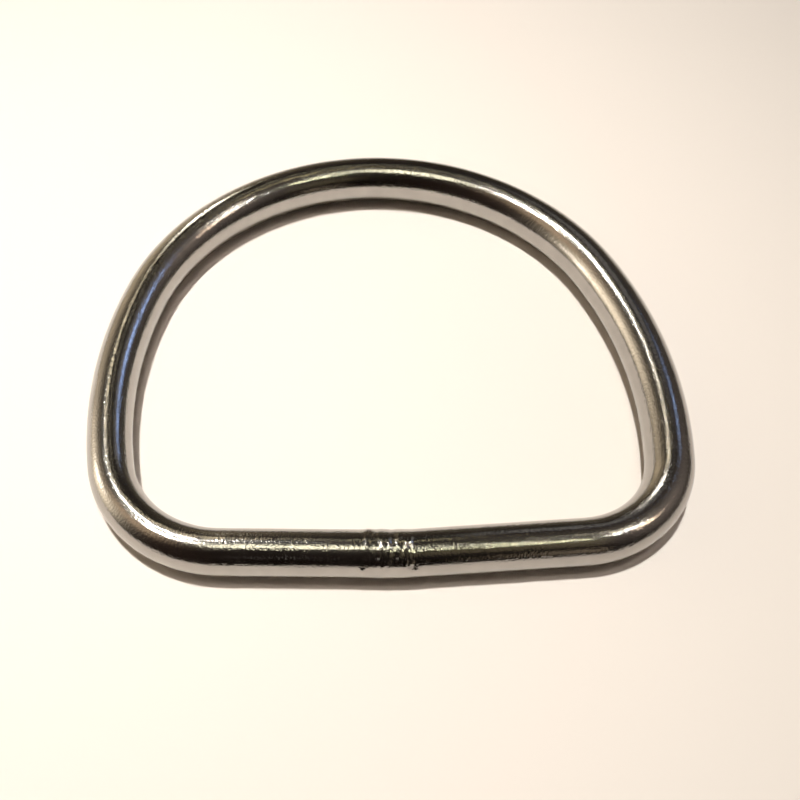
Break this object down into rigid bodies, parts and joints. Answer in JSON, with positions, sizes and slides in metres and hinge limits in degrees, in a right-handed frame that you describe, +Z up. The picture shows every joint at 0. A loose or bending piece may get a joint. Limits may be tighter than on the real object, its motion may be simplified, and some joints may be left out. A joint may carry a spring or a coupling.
{
  "type": "d ring",
  "caption": "Welded D ring of polished round wire: a straight bar for webbing, rounded corners, nearly parallel sides and an arched bow, with a butt weld in the middle of the bar.",
  "frame": {"origin": "middle of the bounding box in X and Y, on the plane that the ring lies on", "axes": "+X along the straight bar, +Y from the bar to the crown of the bow, +Z up, out of the ring's plane"},
  "size_m": [0.0598, 0.055, 0.0046],
  "materials": {
    "polished_steel": "polished round steel wire with fine pits and cross grain"
  },
  "bodies": {
    "root": {"d_ring": "polished_steel"}
  },
  "joints": []
}
